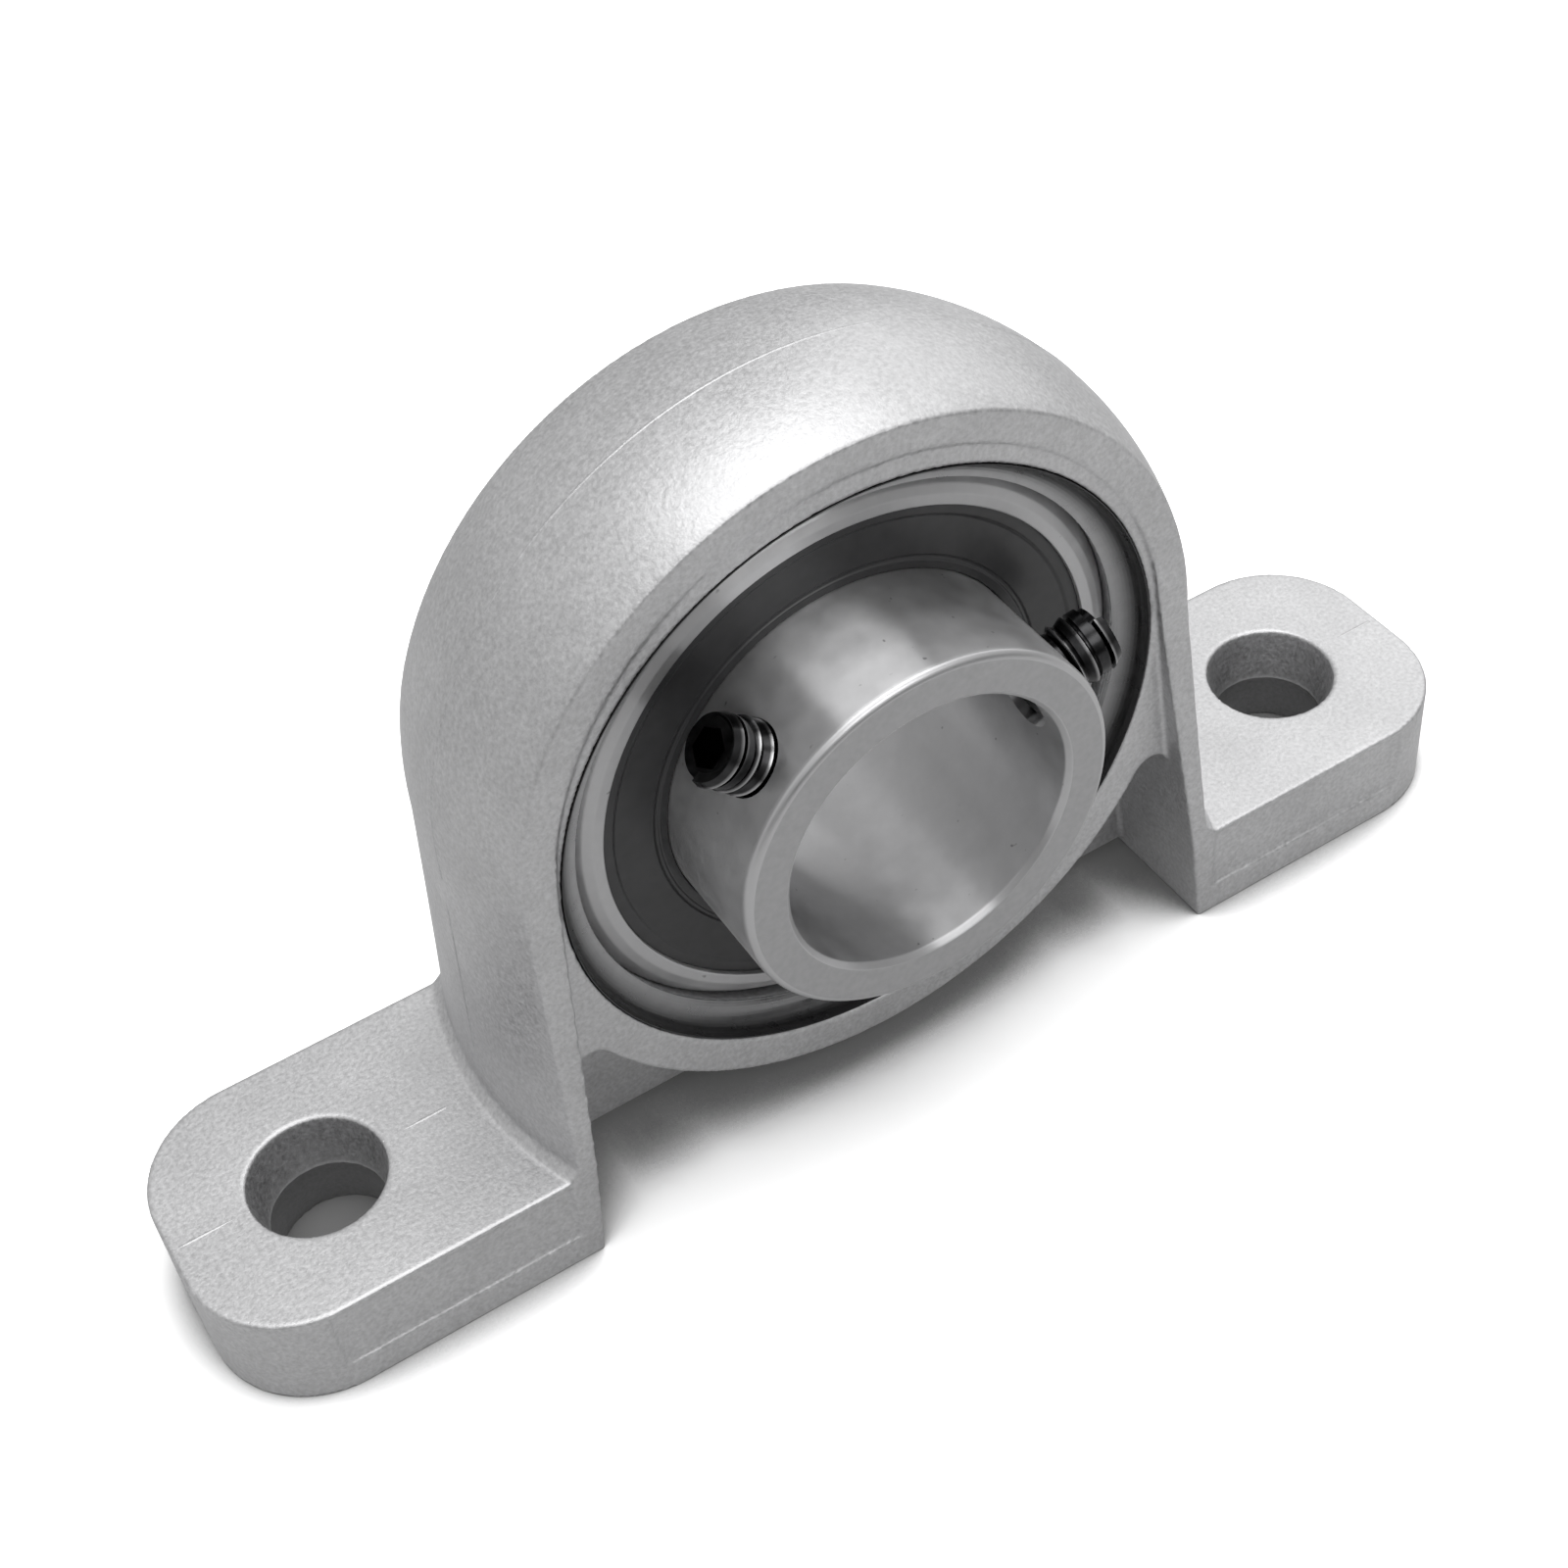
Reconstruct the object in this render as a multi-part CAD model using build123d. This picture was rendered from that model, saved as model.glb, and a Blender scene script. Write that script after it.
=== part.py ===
from build123d import *
import os
from math import acos, atan2, cos, radians, sin, sqrt, tan

# Miniature pillow block with a 17 mm bore. The frame: X along the base, Y along the
# shaft with -Y at the front, where the inner ring stands out, and Z up from the base.
# The origin lies on the base plane, midway between the two bolt holes.

# Shaft, rings and balls
shaft_height = 24.0
bore_diameter = 17.0
inner_ring_width = 17.5
inner_ring_wall = 2.65
inner_ring_front_chamfer = 0.5
inner_ring_edge_chamfer = 0.3
outer_ring_width = 10.0
insert_sphere_diameter = 35.0
outer_ring_corner_chamfer = 0.3
ball_diameter = 4.762
ball_count = 10
shoulder_to_pitch = 1.8
race_clearance = 0.05

# Seals
seal_seat_depth = 0.3
seal_core_thickness = 0.25
seal_rubber_thickness = 0.45
seal_lip_clearance = 0.05
seal_lip_length = 0.7
seal_land = 0.35

# Cage
cage_wall = 2.1
cage_back_thickness = 0.8
cage_prong_reach = 1.2
cage_pocket_clearance = 0.1

# Set screws
screw_diameter = 4.0
screw_length = 5.0
screw_tip_gap = 0.3
screw_thread_clearance = 0.03
screw_from_front = 3.7
screw_socket_across_flats = 2.0
screw_socket_depth = 2.0
screw_end_chamfer = 0.4
right_screw_angle = 17.0
screw_spread = 120.0

# Seat ring of the housing
seat_clearance = 0.06
seat_ring_width = 13.4
seat_ring_wall = 3.2
recess_depth = 1.6
recess_step = 1.6
recess_corner_chamfer = 0.6

# Arch of the housing
crown_rise = 1.37
crown_lift = 0.8
crown_section_radius = 17.0
flank_section_radius = 23.0
flank_draft = 3.5
arch_depth_at_shaft = 14.5
arch_depth_at_shoulder = 13.72
arch_depth_at_crown = 13.66
shoulder_rise = 10.0
window_land = 0.2
window_lift = 1.2
window_foot_gap = 42.2
pocket_tip_radius = 1.2
web_thickness = 2.2
web_lift = 0.7

# Feet and bolt holes
bolt_spacing = 67.0
bolt_hole_diameter = 7.0
bolt_hole_rim = 0.5
bolt_hole_neck = 0.15
bolt_hole_neck_height = 3.5
foot_end_margin = 8.75
base_width = 17.5
foot_thickness = 7.0
foot_corner_radius = 6.4
flank_bevel = 0.6
panel_length = 14.65
panel_end_gap = 1.0
panel_base_gap = 2.0
panel_top_gap = 0.4
panel_depth = 0.25

# Derived sizes
bore_radius = bore_diameter / 2
inner_ring_radius = bore_radius + inner_ring_wall
ball_radius = ball_diameter / 2
pitch_radius = inner_ring_radius + shoulder_to_pitch
outer_shoulder_radius = pitch_radius + shoulder_to_pitch
race_radius = ball_radius + race_clearance
sphere_radius = insert_sphere_diameter / 2
insert_half_width = outer_ring_width / 2
inner_ring_front = insert_half_width - inner_ring_width
seal_face = insert_half_width - seal_seat_depth
seal_core_face = seal_face - seal_rubber_thickness
seal_back = seal_core_face - seal_core_thickness
seal_land_radius = outer_shoulder_radius + seal_land
screw_y = inner_ring_front + screw_from_front
screw_inner_end = bore_radius + screw_tip_gap
screw_angles = {"right": right_screw_angle, "left": right_screw_angle + screw_spread}
seat_radius = sphere_radius + seat_clearance
seat_lip_y = seat_ring_width / 2 - recess_depth
seat_lip_radius = sqrt(seat_radius**2 - seat_lip_y**2)
recess_radius = seat_lip_radius + recess_step
seat_ring_radius = seat_radius + seat_ring_wall
crown_radius = seat_ring_radius + crown_rise
base_half_width = base_width / 2
base_length = bolt_spacing + 2 * foot_end_margin
arch_centre_z = shaft_height + crown_lift
crown_height = arch_centre_z + crown_radius
window_radius = recess_radius + window_land
window_centre_z = shaft_height + window_lift
window_foot = window_foot_gap / 2
shaft_axis = Axis((0, 0, shaft_height), (0, -1, 0))


def revolved(outline):
    """Turn a closed outline, drawn as radius and Y, about the shaft's axis."""
    with BuildPart() as piece:
        with BuildSketch(Plane((0, 0, shaft_height), x_dir=(1, 0, 0), z_dir=(0, 0, 1))):
            add(make_face(outline))
        revolve(axis=shaft_axis)
    return piece.part


def race_outline(shoulder_radius, side):
    """Ball race as a groove with a flat bottom and sloping sides, all touching the race's
    circle; side is 1 outside the balls and -1 inside them."""
    bottom_radius = pitch_radius + side * race_radius
    at_shoulder = sqrt(2) * race_radius - abs(shoulder_radius - pitch_radius)
    at_bottom = (sqrt(2) - 1) * race_radius
    return [
        (shoulder_radius, at_shoulder),
        (bottom_radius, at_bottom),
        (bottom_radius, -at_bottom),
        (shoulder_radius, -at_shoulder),
    ]


def around_shaft(angle, radius, y):
    """Plane on a radius of the shaft's axis, its normal pointing outwards."""
    turn = radians(angle)
    outward = (cos(turn), 0, sin(turn))
    origin = (radius * outward[0], y, shaft_height + radius * outward[2])
    return Plane(origin, x_dir=(0, 1, 0), z_dir=outward)


def outer_ring():
    """Spherical outside, one deep ball race, and a step for a seal at each side."""
    sphere_edge = sqrt(sphere_radius**2 - insert_half_width**2)
    side = [
        (sphere_edge, insert_half_width),
        (seal_land_radius, insert_half_width),
        (seal_land_radius, seal_back),
        (outer_shoulder_radius, seal_back),
    ]
    front = [(radius, -y) for radius, y in reversed(side)]
    inside = Polyline(*side, *race_outline(outer_shoulder_radius, 1), *front)
    back = ThreePointArc(side[0], (sphere_radius, 0), front[-1])
    ring = revolved(inside + back)
    corners = ring.edges().filter_by(GeomType.CIRCLE)
    corners = corners.filter_by(lambda edge: abs(edge.radius - sphere_edge) < seat_clearance / 10)
    return chamfer(corners, outer_ring_corner_chamfer)


def inner_ring():
    """Ring with the bore, a race at the balls and a long front side with two tapped holes."""
    front, rear = inner_ring_front, insert_half_width
    bevel, edge = inner_ring_front_chamfer, inner_ring_edge_chamfer
    body = Polyline(
        (inner_ring_radius - edge, rear),
        (bore_radius + edge, rear),
        (bore_radius, rear - edge),
        (bore_radius, front + edge),
        (bore_radius + edge, front),
        (inner_ring_radius - bevel, front),
        (inner_ring_radius, front + bevel),
        *reversed(race_outline(inner_ring_radius, -1)),
        (inner_ring_radius, rear - edge),
        close=True,
    )
    ring = revolved(body)
    hole_radius = screw_diameter / 2 + screw_thread_clearance
    for angle in screw_angles.values():
        start = around_shaft(angle, bore_radius / 2, screw_y)
        hole = Cylinder(hole_radius, inner_ring_radius, align=(Align.CENTER, Align.CENTER, Align.MIN))
        ring -= start * hole
    return ring


def set_screw(angle):
    """Headless screw with a hexagon socket outside and a flat point towards the shaft."""
    with BuildPart() as screw:
        Cylinder(screw_diameter / 2, screw_length, align=(Align.CENTER, Align.CENTER, Align.MIN))
        ends = screw.edges().filter_by(GeomType.CIRCLE)
        chamfer(ends, screw_end_chamfer)
        with BuildSketch(Plane.XY.offset(screw_length)):
            RegularPolygon(screw_socket_across_flats / 2, 6, major_radius=False)
        extrude(amount=-screw_socket_depth, mode=Mode.SUBTRACT)
    return around_shaft(angle, screw_inner_end, screw_y) * screw.part


def seal(side):
    """Steel washer, and the rubber disc on it that ends in a lip; side is -1 at the front."""
    lip_radius = inner_ring_radius + seal_lip_clearance
    discs = []
    for radius, back, face in (
        (lip_radius + seal_lip_length, seal_back, seal_core_face),
        (lip_radius, seal_core_face, seal_face),
    ):
        outline = Polyline(
            (radius, side * back),
            (seal_land_radius, side * back),
            (seal_land_radius, side * face),
            (radius, side * face),
            close=True,
        )
        discs.append(revolved(outline))
    return discs


def cage():
    """Moulded crown: a ring behind the balls, with a prong between each ball and the next."""
    inner = pitch_radius - cage_wall / 2
    outer = pitch_radius + cage_wall / 2
    pocket_radius = ball_radius + cage_pocket_clearance
    back = pocket_radius + cage_back_thickness
    band = Polyline(
        (inner, -cage_prong_reach),
        (outer, -cage_prong_reach),
        (outer, back),
        (inner, back),
        close=True,
    )
    pocket = Cylinder(pocket_radius, 2 * cage_wall)
    pocket_angles = [90 + 360 * index / ball_count for index in range(ball_count)]
    return revolved(band) - [around_shaft(angle, pitch_radius, 0) * pocket for angle in pocket_angles]


def arch_plan(z, spread, section_radius):
    """Outline of the arch in plan at a height: two bulging flanks, moved out by the spread."""
    crown_x = crown_radius + spread
    edge_x = crown_x - section_radius + sqrt(section_radius**2 - base_half_width**2)
    right = ThreePointArc((edge_x, -base_half_width), (crown_x, 0), (edge_x, base_half_width))
    rear = Line((edge_x, base_half_width), (-edge_x, base_half_width))
    left = ThreePointArc((-edge_x, base_half_width), (-crown_x, 0), (-edge_x, -base_half_width))
    front = Line((-edge_x, -base_half_width), (edge_x, -base_half_width))
    return Pos(0, 0, z) * make_face(right + rear + left + front)


def arch_body():
    """Barrel-shaped arch with spreading flanks, between front and rear faces that lean in."""
    top_plan = arch_plan(arch_centre_z, 0, crown_section_radius)
    right_side = Pos(crown_radius, 0, arch_centre_z) * Box(2 * crown_radius, base_length, 1)
    barrel = revolve(top_plan & right_side, Axis((0, 0, arch_centre_z), (0, -1, 0)), 180)
    bevel_top = foot_thickness + flank_bevel
    spread = (arch_centre_z - bevel_top) * tan(radians(flank_draft))
    leg_plan = arch_plan(bevel_top, spread, flank_section_radius)
    foot_plan = arch_plan(foot_thickness, spread + flank_bevel, flank_section_radius)
    legs = loft([top_plan, leg_plan], ruled=True)
    flare = loft([leg_plan, foot_plan], ruled=True)
    upright = extrude(foot_plan, -foot_thickness)
    section = Polygon(
        (-base_half_width, 0),
        (base_half_width, 0),
        (base_half_width, foot_thickness),
        (arch_depth_at_shaft / 2, shaft_height),
        (arch_depth_at_shoulder / 2, shaft_height + shoulder_rise),
        (arch_depth_at_crown / 2, crown_height),
        (-arch_depth_at_crown / 2, crown_height),
        (-arch_depth_at_shoulder / 2, shaft_height + shoulder_rise),
        (-arch_depth_at_shaft / 2, shaft_height),
        (-base_half_width, foot_thickness),
        align=None,
    )
    depth = extrude(Plane.YZ * section, 2 * crown_radius, both=True)
    return (barrel + legs + flare + upright) & depth


def feet():
    """Two flat feet with round corners, joined under the legs of the arch."""
    with BuildPart() as base:
        with BuildSketch(Plane.XY):
            RectangleRounded(base_length, base_width, foot_corner_radius)
            Rectangle(2 * window_foot, 2 * base_width, mode=Mode.SUBTRACT)
        extrude(amount=foot_thickness)
    return base.part


def foot_panel(side):
    """Bare, shallow panel sunk into the front of a foot; side is 1 at the right."""
    height = foot_thickness - panel_base_gap - panel_top_gap
    middle_x = window_foot + panel_end_gap + panel_length / 2
    block = Box(panel_length, 2 * panel_depth, height, align=(Align.CENTER, Align.CENTER, Align.MIN))
    return Pos(side * middle_x, -base_half_width, panel_base_gap) * block


def window_outline():
    """Inside of the arch: two straight leg sides, tangent to the round part above."""
    reach = sqrt(window_foot**2 + window_centre_z**2)
    turn = atan2(-window_centre_z, window_foot) + acos(window_radius / reach)
    side_x = window_radius * cos(turn)
    side_z = window_centre_z + window_radius * sin(turn)
    round_part = ThreePointArc(
        (side_x, side_z), (0, window_centre_z + window_radius), (-side_x, side_z)
    )
    legs = Polyline((-side_x, side_z), (-window_foot, 0), (window_foot, 0), (side_x, side_z))
    return make_face(round_part + legs)


def arch_pockets():
    """Room in the front and the rear of the arch: down to the seat ring's faces, and
    below the ring down to the web in the middle."""
    outline = window_outline()
    below_ring = outline - Pos(0, shaft_height) * Circle(seat_ring_radius)
    tips = below_ring.vertices().filter_by(lambda corner: corner.Y > foot_thickness)
    below_ring = fillet(tips, pocket_tip_radius)
    pockets = []
    for side in (-1, 1):
        for sketch, start in ((outline, seat_ring_width / 2), (below_ring, web_thickness / 2)):
            room = extrude(Plane.XZ.offset(-side * start) * sketch, amount=-side * base_width)
            pockets.append(room)
    return pockets


def seat_cut():
    """Spherical seat of the insert, opened by a round recess at the front and the rear."""
    cut = Pos(0, 0, shaft_height) * Rot(90, 0, 0) * Sphere(seat_radius)
    for side in (-1, 1):
        floor = Plane((0, side * seat_lip_y, shaft_height), x_dir=(1, 0, 0), z_dir=(0, side, 0))
        recess = Cylinder(recess_radius, base_width, align=(Align.CENTER, Align.CENTER, Align.MIN))
        recess = chamfer(recess.edges().sort_by(Axis.Z)[0], recess_corner_chamfer)
        cut += floor * recess
    return cut


def bolt_hole(x):
    """Cored hole: straight below, a narrow neck at the parting line, and wider to the top."""
    hole = bolt_hole_diameter / 2
    with BuildPart() as core:
        with BuildSketch(Plane.XZ):
            Polygon(
                (0, -foot_thickness),
                (hole, -foot_thickness),
                (hole, bolt_hole_neck_height),
                (hole - bolt_hole_neck, bolt_hole_neck_height),
                (hole + bolt_hole_rim, foot_thickness),
                (hole + bolt_hole_rim, 2 * foot_thickness),
                (0, 2 * foot_thickness),
                align=None,
            )
        revolve(axis=Axis.Z)
    return Pos(x, 0, 0) * core.part


def housing():
    """Zinc casting: arch, feet, seat ring, pockets and the web under the ring."""
    body = arch_body() + feet()
    body -= arch_pockets()
    body -= seat_cut()
    body -= [bolt_hole(side * bolt_spacing / 2) for side in (-1, 1)]
    body -= [foot_panel(side) for side in (-1, 1)]
    under_web = Box(2 * window_foot, web_thickness, web_lift, align=(Align.CENTER, Align.CENTER, Align.MIN))
    return body - under_web


pieces = {
    "housing": housing(),
    "outer_ring": outer_ring(),
    "inner_ring": inner_ring(),
    "cage": cage(),
}
pieces["front_seal_core"], pieces["front_seal_lip"] = seal(-1)
pieces["rear_seal_core"], pieces["rear_seal_lip"] = seal(1)
for name, angle in screw_angles.items():
    pieces[f"set_screw_{name}"] = set_screw(angle)

os.makedirs("parts", exist_ok=True)
for name, shape in pieces.items():
    export_step(shape, f"parts/{name}.step")
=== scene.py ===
import math

import bmesh
import bpy
from mathutils import Matrix, Vector


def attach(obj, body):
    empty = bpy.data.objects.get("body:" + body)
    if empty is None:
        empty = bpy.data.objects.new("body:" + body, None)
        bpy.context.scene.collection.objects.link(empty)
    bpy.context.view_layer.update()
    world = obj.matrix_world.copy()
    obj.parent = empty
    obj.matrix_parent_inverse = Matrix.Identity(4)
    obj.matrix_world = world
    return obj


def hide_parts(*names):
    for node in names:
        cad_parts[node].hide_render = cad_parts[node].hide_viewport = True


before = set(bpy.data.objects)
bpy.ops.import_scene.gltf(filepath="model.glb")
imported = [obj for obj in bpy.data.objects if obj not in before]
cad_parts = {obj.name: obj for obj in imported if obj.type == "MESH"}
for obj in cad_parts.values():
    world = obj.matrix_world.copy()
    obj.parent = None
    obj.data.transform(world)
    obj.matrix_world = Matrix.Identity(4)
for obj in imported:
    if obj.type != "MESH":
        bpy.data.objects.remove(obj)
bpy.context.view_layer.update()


# Housing
# One zinc die casting: two feet, the arch and the ring that holds the insert. It comes
# out of a two-part steel die with a fine grain on it, and tumbling rounds its edges.
MM = 0.001
scene = bpy.context.scene
CASTING_SKIN_MM = 0.15
CASTING_GRAIN_MM = 0.26
CASTING_CLOUD_MM = 5.0
CASTING_LIGHT = "#E2E2E3"
CASTING_DULL = "#C8C8C9"
BOLT_X_MM = 33.5
HOLE_SHADE_RADIUS_MM = 3.75
HOLE_SHADE_TOP_MM = 3.4
MOST_TRIANGLES = 190000


def linear(hex_colour):
    """Linear red, green, blue and alpha of an sRGB hex colour."""
    values = [int(hex_colour[place:place + 2], 16) / 255 for place in (1, 3, 5)]
    values = [v / 12.92 if v <= 0.04045 else ((v + 0.055) / 1.055) ** 2.4 for v in values]
    return (*values, 1.0)


def add_node(tree, kind, inputs=None, **settings):
    """Add a node, set its own settings, and fill or link its inputs by name or number."""
    node = tree.nodes.new(kind)
    for name, value in settings.items():
        setattr(node, name, value)
    for name, value in (inputs or {}).items():
        socket = node.inputs[name]
        if isinstance(value, bpy.types.NodeSocket):
            tree.links.new(value, socket)
        else:
            socket.default_value = value
    return node


def new_finish(name):
    """Empty material: its node tree and its principled shader."""
    material = bpy.data.materials.new(name)
    material.use_nodes = True
    return material, material.node_tree, material.node_tree.nodes["Principled BSDF"]


def plain_mesh(piece):
    """Keep what the piece's modifiers make of it as its own mesh."""
    view = bpy.context.evaluated_depsgraph_get()
    mesh = bpy.data.meshes.new_from_object(piece.evaluated_get(view))
    piece.modifiers.clear()
    piece.data = mesh
    return piece


def add_piece(name, work):
    """Put a finished bmesh into the scene as a smooth piece, in metres."""
    mesh = bpy.data.meshes.new(name)
    work.to_mesh(mesh)
    work.free()
    mesh.shade_smooth()
    piece = bpy.data.objects.new(name, mesh)
    scene.collection.objects.link(piece)
    return piece


# Tumbled zinc die casting: a bright grey metal whose fine grain, 0.2 to 0.4 mm wide,
# breaks every reflection into a dull sparkle, with broad clouds where the melt ran. The
# bolt holes are painted darker below the joint of their core pins, as painted shade.
zinc, tree, shader = new_finish("tumbled_zinc_die_casting")
place = add_node(tree, "ShaderNodeTexCoord").outputs["Object"]
grain = add_node(
    tree, "ShaderNodeTexNoise",
    {"Vector": place, "Scale": 1 / (CASTING_GRAIN_MM * MM), "Detail": 3.0, "Roughness": 0.6},
)
cloud = add_node(
    tree, "ShaderNodeTexNoise",
    {"Vector": place, "Scale": 1 / (CASTING_CLOUD_MM * MM), "Detail": 5.0, "Roughness": 0.62},
)
tone = add_node(
    tree, "ShaderNodeMix",
    {"Factor": cloud.outputs["Fac"], 6: linear(CASTING_DULL), 7: linear(CASTING_LIGHT)},
    data_type="RGBA",
)
speckle = add_node(
    tree, "ShaderNodeMapRange",
    {"Value": grain.outputs["Fac"], "From Min": 0.3, "From Max": 0.7, "To Min": 0.74, "To Max": 1.0},
)
flat_place = add_node(tree, "ShaderNodeVectorMath", {0: place, 1: (1.0, 1.0, 0.0)}, operation="MULTIPLY")
either_side = add_node(tree, "ShaderNodeVectorMath", {0: flat_place.outputs[0]}, operation="ABSOLUTE")
# Painted shade: the bolt holes' walls below the core pins' joint are darkened in the base colour.
from_bolt = add_node(
    tree, "ShaderNodeVectorMath", {0: either_side.outputs[0], 1: (BOLT_X_MM * MM, 0.0, 0.0)},
    operation="DISTANCE",
)
in_hole = add_node(
    tree, "ShaderNodeMath", {0: from_bolt.outputs["Value"], 1: HOLE_SHADE_RADIUS_MM * MM}, operation="LESS_THAN"
)
height = add_node(tree, "ShaderNodeSeparateXYZ", {0: place})
low = add_node(tree, "ShaderNodeMath", {0: height.outputs["Z"], 1: HOLE_SHADE_TOP_MM * MM}, operation="LESS_THAN")
shaded_hole_mask = add_node(tree, "ShaderNodeMath", {0: in_hole.outputs[0], 1: low.outputs[0]}, operation="MULTIPLY")
hole_shade = add_node(
    tree, "ShaderNodeMapRange", {"Value": shaded_hole_mask.outputs[0], "To Min": 1.0, "To Max": 0.35}
)
grain_and_hole_shade = add_node(
    tree, "ShaderNodeMath", {0: speckle.outputs["Result"], 1: hole_shade.outputs["Result"]}, operation="MULTIPLY"
)
speckled_and_hole_shaded = add_node(
    tree, "ShaderNodeMix",
    {"Factor": 1.0, 6: tone.outputs[2], 7: grain_and_hole_shade.outputs[0]},
    data_type="RGBA", blend_type="MULTIPLY",
)
fleck = add_node(
    tree, "ShaderNodeMapRange",
    {"Value": grain.outputs["Fac"], "From Min": 0.3, "From Max": 0.7, "To Min": 0.4, "To Max": 0.54},
)
grain_relief = add_node(
    tree, "ShaderNodeBump", {"Height": grain.outputs["Fac"], "Strength": 1.0, "Distance": 0.026 * MM}
)
shader.inputs["Metallic"].default_value = 1.0
tree.links.new(speckled_and_hole_shaded.outputs[2], shader.inputs["Base Color"])
tree.links.new(fleck.outputs["Result"], shader.inputs["Roughness"])
tree.links.new(grain_relief.outputs["Normal"], shader.inputs["Normal"])

work = bmesh.new()
work.from_mesh(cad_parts["housing"].data)
bmesh.ops.remove_doubles(work, verts=work.verts, dist=0.002 * MM)
casting = add_piece("casting", work)
skin = casting.modifiers.new("cast skin", "REMESH")
skin.mode = "VOXEL"
skin.voxel_size = CASTING_SKIN_MM * MM
tumbled = casting.modifiers.new("tumbled edges", "SMOOTH")
tumbled.factor = 0.5
tumbled.iterations = 2
plain_mesh(casting)
thinned = casting.modifiers.new("fewer faces", "DECIMATE")
thinned.ratio = min(1.0, MOST_TRIANGLES / (2 * len(casting.data.polygons)))
plain_mesh(casting).data.shade_smooth()
casting.data.materials.clear()
casting.data.materials.append(zinc)
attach(casting, "housing")
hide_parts("housing")


# Parting line
# The seam where the two halves of the die meet: a hair of flash that tumbling leaves
# standing on the feet, up the flanks and over the crown, in the plane of the bolt holes.
FLASH_HEIGHT_MM = 0.15
FLASH_SUNK_MM = 0.11
FLASH_WAVE_MM = 1.2
ARCH_CENTRE_MM = 24.8
HOLE_TOP_MM = 4.05
OUTSIDE_MM = 60.0


def new_shape_tree(name, sizes):
    """Geometry Nodes tree with named inputs, and its input and output nodes."""
    tree = bpy.data.node_groups.new(name, "GeometryNodeTree")
    tree.interface.new_socket("Geometry", in_out="INPUT", socket_type="NodeSocketGeometry")
    for label, kind in sizes:
        tree.interface.new_socket(label, in_out="INPUT", socket_type="NodeSocket" + kind)
    tree.interface.new_socket("Geometry", in_out="OUTPUT", socket_type="NodeSocketGeometry")
    return tree, tree.nodes.new("NodeGroupInput"), tree.nodes.new("NodeGroupOutput")


def grow(piece, tree, values):
    """Run a shape tree on a piece with its named sizes, and keep the plain mesh."""
    modifier = piece.modifiers.new(tree.name, "NODES")
    modifier.node_group = tree
    for item in tree.interface.items_tree:
        if item.in_out == "INPUT" and item.name in values:
            modifier[item.identifier] = values[item.name]
    view = bpy.context.evaluated_depsgraph_get()
    mesh = bpy.data.meshes.new_from_object(piece.evaluated_get(view))
    name = piece.name
    bpy.data.objects.remove(piece)
    grown = bpy.data.objects.new(name, mesh)
    scene.collection.objects.link(grown)
    mesh.name = name
    mesh.shade_smooth()
    return grown


tree, given, made = new_shape_tree(
    "flash along a path", (("Height", "Float"), ("Waves per metre", "Float"), ("Finish", "Material"))
)
close = add_node(
    tree, "GeometryNodeResampleCurve", {"Curve": given.outputs["Geometry"], "Length": 0.25 * MM},
    mode="LENGTH",
)
wave = add_node(tree, "ShaderNodeTexNoise", {"Scale": given.outputs["Waves per metre"], "Detail": 2.0})
standing = add_node(
    tree, "ShaderNodeMapRange",
    {"Value": wave.outputs["Fac"], "From Min": 0.35, "From Max": 0.65, "To Min": 0.35, "To Max": 1.0},
)
uneven = add_node(
    tree, "GeometryNodeSetCurveRadius", {"Curve": close.outputs[0], "Radius": standing.outputs["Result"]}
)
profile = add_node(
    tree, "GeometryNodeCurvePrimitiveCircle", {"Resolution": 8, "Radius": given.outputs["Height"]}
)
swept = add_node(
    tree, "GeometryNodeCurveToMesh",
    {"Curve": uneven.outputs[0], "Profile Curve": profile.outputs["Curve"], "Fill Caps": True},
)
joined = add_node(tree, "GeometryNodeRealizeInstances", {"Geometry": swept.outputs["Mesh"]})
finished = add_node(
    tree, "GeometryNodeSetMaterial", {"Geometry": joined.outputs[0], "Material": given.outputs["Finish"]}
)
tree.links.new(finished.outputs[0], made.inputs[0])


def skin_point(x_mm, z_mm, out):
    """Point just under the casting's skin, met by a ray from outside in the seam's plane."""
    start = Vector((x_mm, 0.0, z_mm)) + OUTSIDE_MM * Vector(out)
    place = casting.ray_cast(start * MM, -Vector(out))[1]
    return place - FLASH_SUNK_MM * MM * Vector(out)


bpy.context.view_layer.update()
seam = bpy.data.curves.new("parting_line", "CURVE")
seam.dimensions = "3D"
arch = []
for degrees in range(-2, 183, 2):
    turn = math.radians(degrees)
    arch.append(skin_point(0.0, ARCH_CENTRE_MM, (math.cos(turn), 0.0, math.sin(turn))))
runs = [arch]
for side in (-1, 1):
    flank = [skin_point(0.0, z, (side, 0.0, 0.0)) for z in range(10, 24, 2)]
    before_hole = [skin_point(side * x, 0.0, (0.0, 0.0, 1.0)) for x in (25.5, 27.0, BOLT_X_MM - HOLE_TOP_MM)]
    past_hole = [skin_point(side * x, 0.0, (0.0, 0.0, 1.0)) for x in (BOLT_X_MM + HOLE_TOP_MM, 40.0, 41.7)]
    foot_end = [skin_point(0.0, z, (side, 0.0, 0.0)) for z in (6.5, 4.0, 1.0)]
    runs += [flank, before_hole, past_hole + foot_end]
for run in runs:
    spline = seam.splines.new("POLY")
    spline.points.add(len(run) - 1)
    for point, place in zip(spline.points, run):
        point.co = (*place, 1.0)
seam_path = bpy.data.objects.new("parting_line", seam)
scene.collection.objects.link(seam_path)
parting_line = grow(seam_path, tree, {
    "Height": FLASH_HEIGHT_MM * MM, "Waves per metre": 1 / (FLASH_WAVE_MM * MM), "Finish": zinc,
})
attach(parting_line, "housing")


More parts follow.
